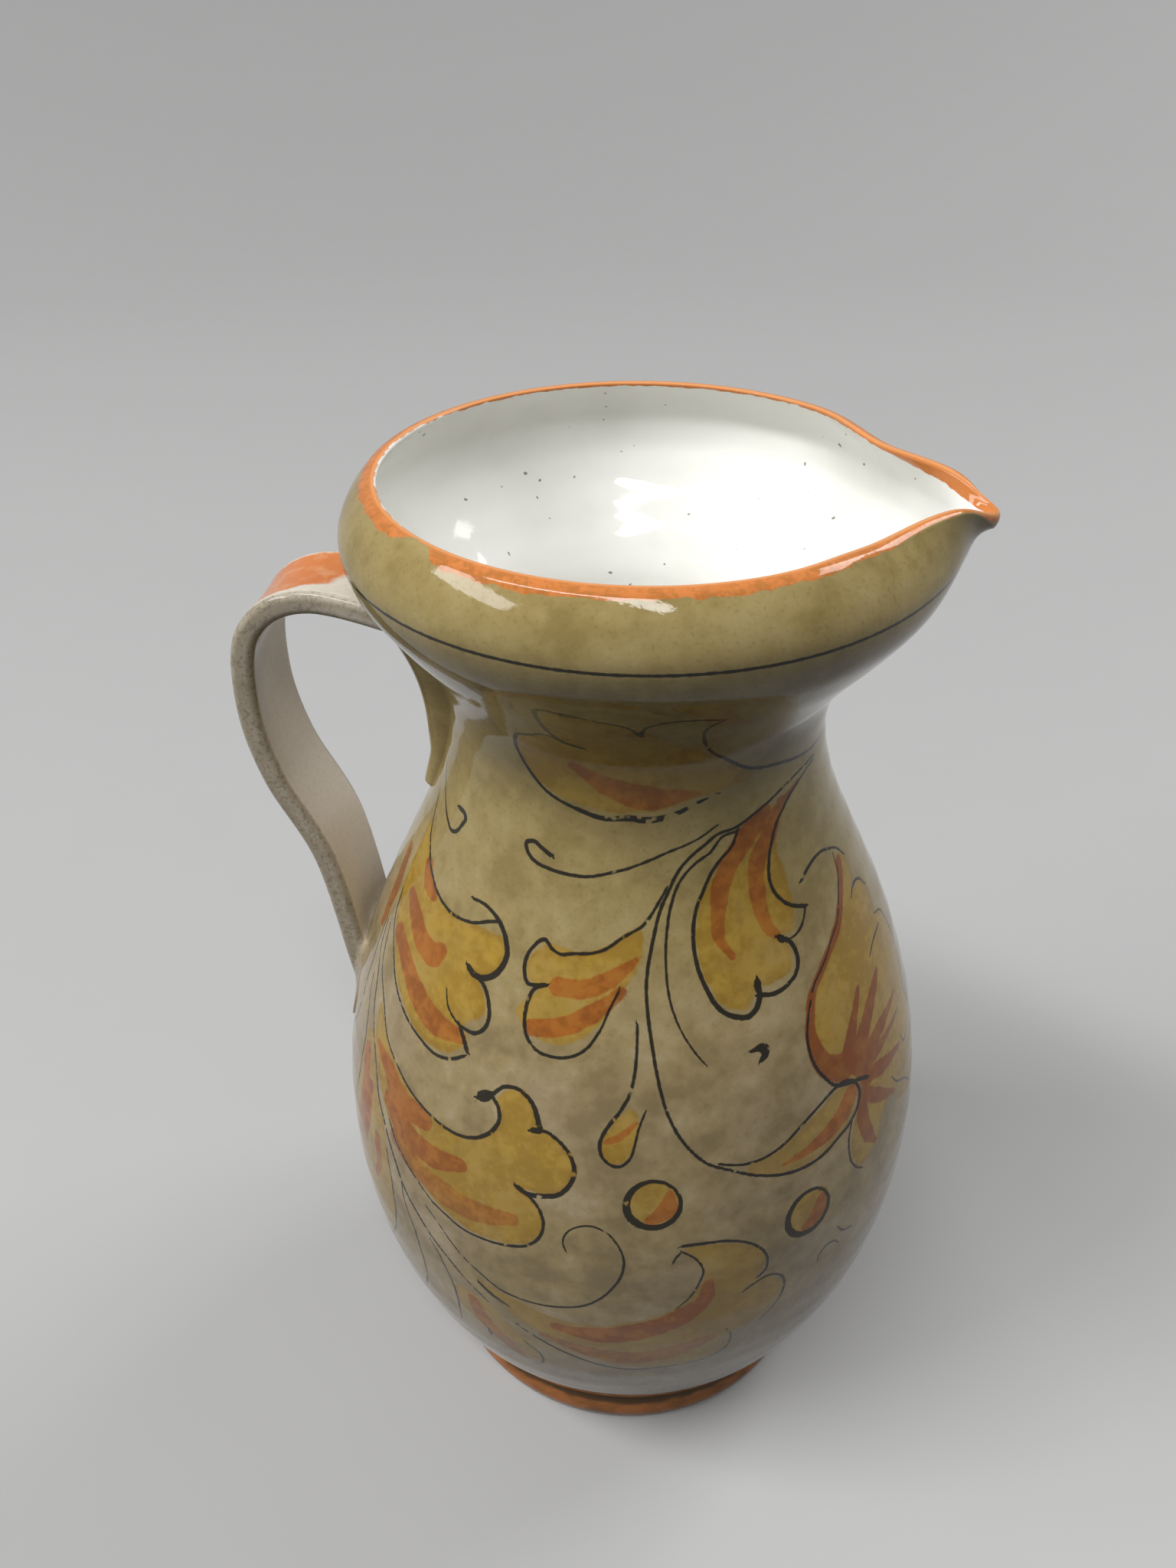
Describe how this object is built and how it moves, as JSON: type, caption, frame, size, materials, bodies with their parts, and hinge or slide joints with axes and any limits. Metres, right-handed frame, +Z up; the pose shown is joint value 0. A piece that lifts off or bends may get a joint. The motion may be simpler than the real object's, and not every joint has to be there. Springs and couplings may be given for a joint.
{
  "type": "pouring jug",
  "caption": "Glazed earthenware pouring jug with a full belly, drawn-in neck, wide mouth bowl, pulled pouring lip and strap handle, painted with leaf scrolls.",
  "frame": {"origin": "centre of the foot's underside, on the jug's turning axis, on the surface that it stands on", "axes": "+Z up along the turning axis, +X towards the pouring lip, -X towards the handle"},
  "size_m": [0.1621, 0.1452, 0.25],
  "materials": {
    "orange_band": "gloss, brushed orange",
    "painted_glaze": "gloss, mottled beige with painted leaf scrolls",
    "olive_glaze": "gloss, mottled olive, white inside",
    "strap_glaze": "gloss, speckled beige"
  },
  "bodies": {
    "root": {"foot": "orange_band", "belly": "painted_glaze", "neck": "painted_glaze", "mouth_bowl": "olive_glaze", "pouring_lip": "olive_glaze", "strap_handle": "strap_glaze", "handle_tail": "olive_glaze"}
  },
  "joints": []
}
